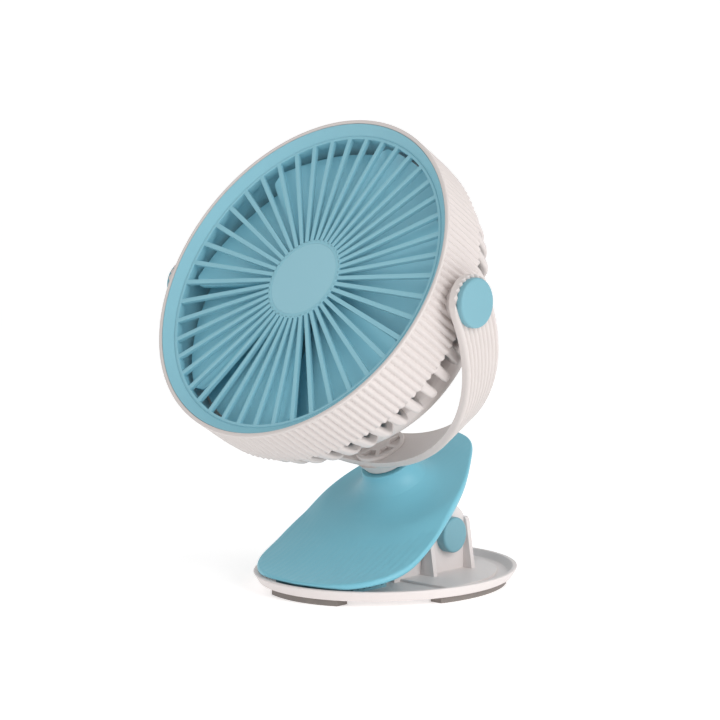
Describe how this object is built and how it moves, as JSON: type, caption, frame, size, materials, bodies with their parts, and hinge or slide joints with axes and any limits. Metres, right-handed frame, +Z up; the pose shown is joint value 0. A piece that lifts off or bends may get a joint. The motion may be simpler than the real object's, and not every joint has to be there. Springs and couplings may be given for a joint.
{
  "type": "clip fan",
  "caption": "Small fan with a ribbed drum head that tilts in a fluted U-shaped yoke, on a sprung jaw clip whose round dish is also its stand.",
  "frame": {"origin": "middle of the base on the ground it stands on", "axes": "+Z up, -Y towards the mouth of the clip and the side the fan blows to, X along the tilt axis of the head"},
  "size_m": [0.1784, 0.1642, 0.2139],
  "materials": {
    "base_plastic": "smooth satin white",
    "foot_rubber": "matt grey",
    "pad_rubber": "matt grey, ribbed",
    "pin_steel": "turned",
    "cap_plastic": "satin light blue",
    "washer_plastic": "smooth",
    "jaw_plastic": "satin light blue",
    "jaw_rubber": "matt grey",
    "spring_steel": "drawn wire",
    "yoke_plastic": "satin white, fluted",
    "screw_steel": "bright zinc",
    "knob_plastic": "satin light blue",
    "casing_plastic": "satin white, fine ribs",
    "grille_plastic": "satin light blue",
    "hub_plastic": "smooth light blue",
    "rear_plastic": "satin white",
    "motor_steel": "plated",
    "brass": "turned",
    "impeller_plastic": "satin light blue",
    "cell_wrap": "shrink wrap",
    "board": "coated board",
    "socket_steel": "drawn shell",
    "button_plastic": "satin light blue",
    "lens_plastic": "clear"
  },
  "bodies": {
    "base": {"base_plate": "base_plastic", "base_feet": "foot_rubber", "base_grip_pad": "pad_rubber", "hinge_pin": "pin_steel", "hinge_caps": "cap_plastic", "hinge_washers": "washer_plastic", "clamp_spring": "spring_steel"},
    "upper_jaw": {"jaw_shell": "jaw_plastic", "jaw_grip_pad": "jaw_rubber", "neck_bush": "washer_plastic"},
    "yoke": {"yoke": "yoke_plastic", "swivel_screw": "screw_steel", "swivel_washer": "screw_steel", "pivot_knobs": "knob_plastic", "pivot_washers": "washer_plastic"},
    "head": {"casing": "casing_plastic", "pivot_screws": "screw_steel", "front_grille": "grille_plastic", "hub_disc": "hub_plastic", "rear_grille": "rear_plastic", "rear_dome": "rear_plastic", "casing_screws": "screw_steel", "motor_can": "motor_steel", "motor_bush": "brass", "motor_screws": "screw_steel", "battery_cell": "cell_wrap", "control_board": "board", "usb_socket": "socket_steel", "status_lens": "lens_plastic"},
    "impeller": {"impeller": "impeller_plastic", "motor_shaft": "pin_steel", "impeller_nut": "brass"},
    "power_button": {"power_button": "button_plastic"}
  },
  "joints": [
    {"name": "jaw_hinge", "type": "hinge", "parent": "base", "child": "upper_jaw", "pos_m": [0, 0.018, 0.023], "axis": [-1, 0, 0], "range_deg": [0, 35], "stiffness_Nm_per_rad": 1.5, "springref_deg": -42.97, "deforming": ["clamp_spring"]},
    {"name": "yoke_swivel", "type": "hinge", "parent": "upper_jaw", "child": "yoke", "pos_m": [0, 0, 0.0567], "axis": [0, -0.4772, 0.8788], "range_deg": [-175, 175]},
    {"name": "head_tilt", "type": "hinge", "parent": "yoke", "child": "head", "pos_m": [0, -0.0436, 0.137], "axis": [-1, 0, 0], "range_deg": [-60, 110]},
    {"name": "impeller_spin", "type": "hinge", "parent": "head", "child": "impeller", "pos_m": [0, -0.0436, 0.137], "axis": [0, -0.8599, 0.5105], "continuous": true},
    {"name": "button_press", "type": "slide", "parent": "head", "child": "power_button", "axis": [0, -0.8599, 0.5105], "range_m": [0, 0.001], "stiffness_N_per_m": 800, "springref_m": -0.001}
  ]
}
